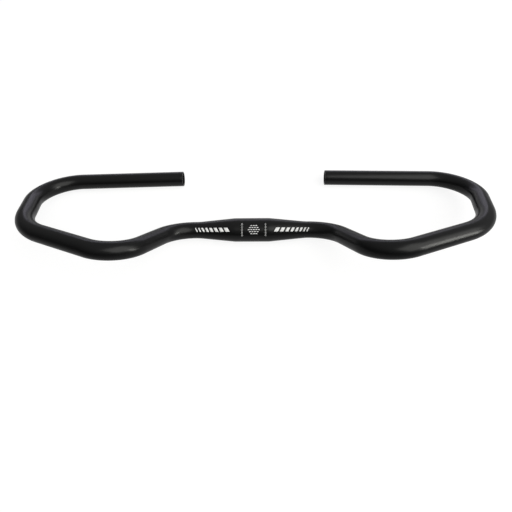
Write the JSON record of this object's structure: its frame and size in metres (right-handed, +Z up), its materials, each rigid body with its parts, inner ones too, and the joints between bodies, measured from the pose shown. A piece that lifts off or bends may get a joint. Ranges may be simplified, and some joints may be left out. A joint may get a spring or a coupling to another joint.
{
  "type": "bicycle handlebar",
  "caption": "Butterfly bicycle handlebar of bent black aluminium tube, thick where the stem clamps it, with an open loop on each side and hollow cut ends.",
  "frame": {"origin": "middle of the stem clamp's parallel stretch, on the tube's axis", "axes": "+X along the stem clamp to the bar's right side, +Y from the clamp back to the two arms, +Z up, as the bar lies on a level floor on its clamp and its arms"},
  "size_m": [0.6388, 0.1942, 0.0855],
  "materials": {
    "anodised_tube": "matte black anodised"
  },
  "bodies": {
    "root": {"handlebar": "anodised_tube"}
  },
  "joints": []
}
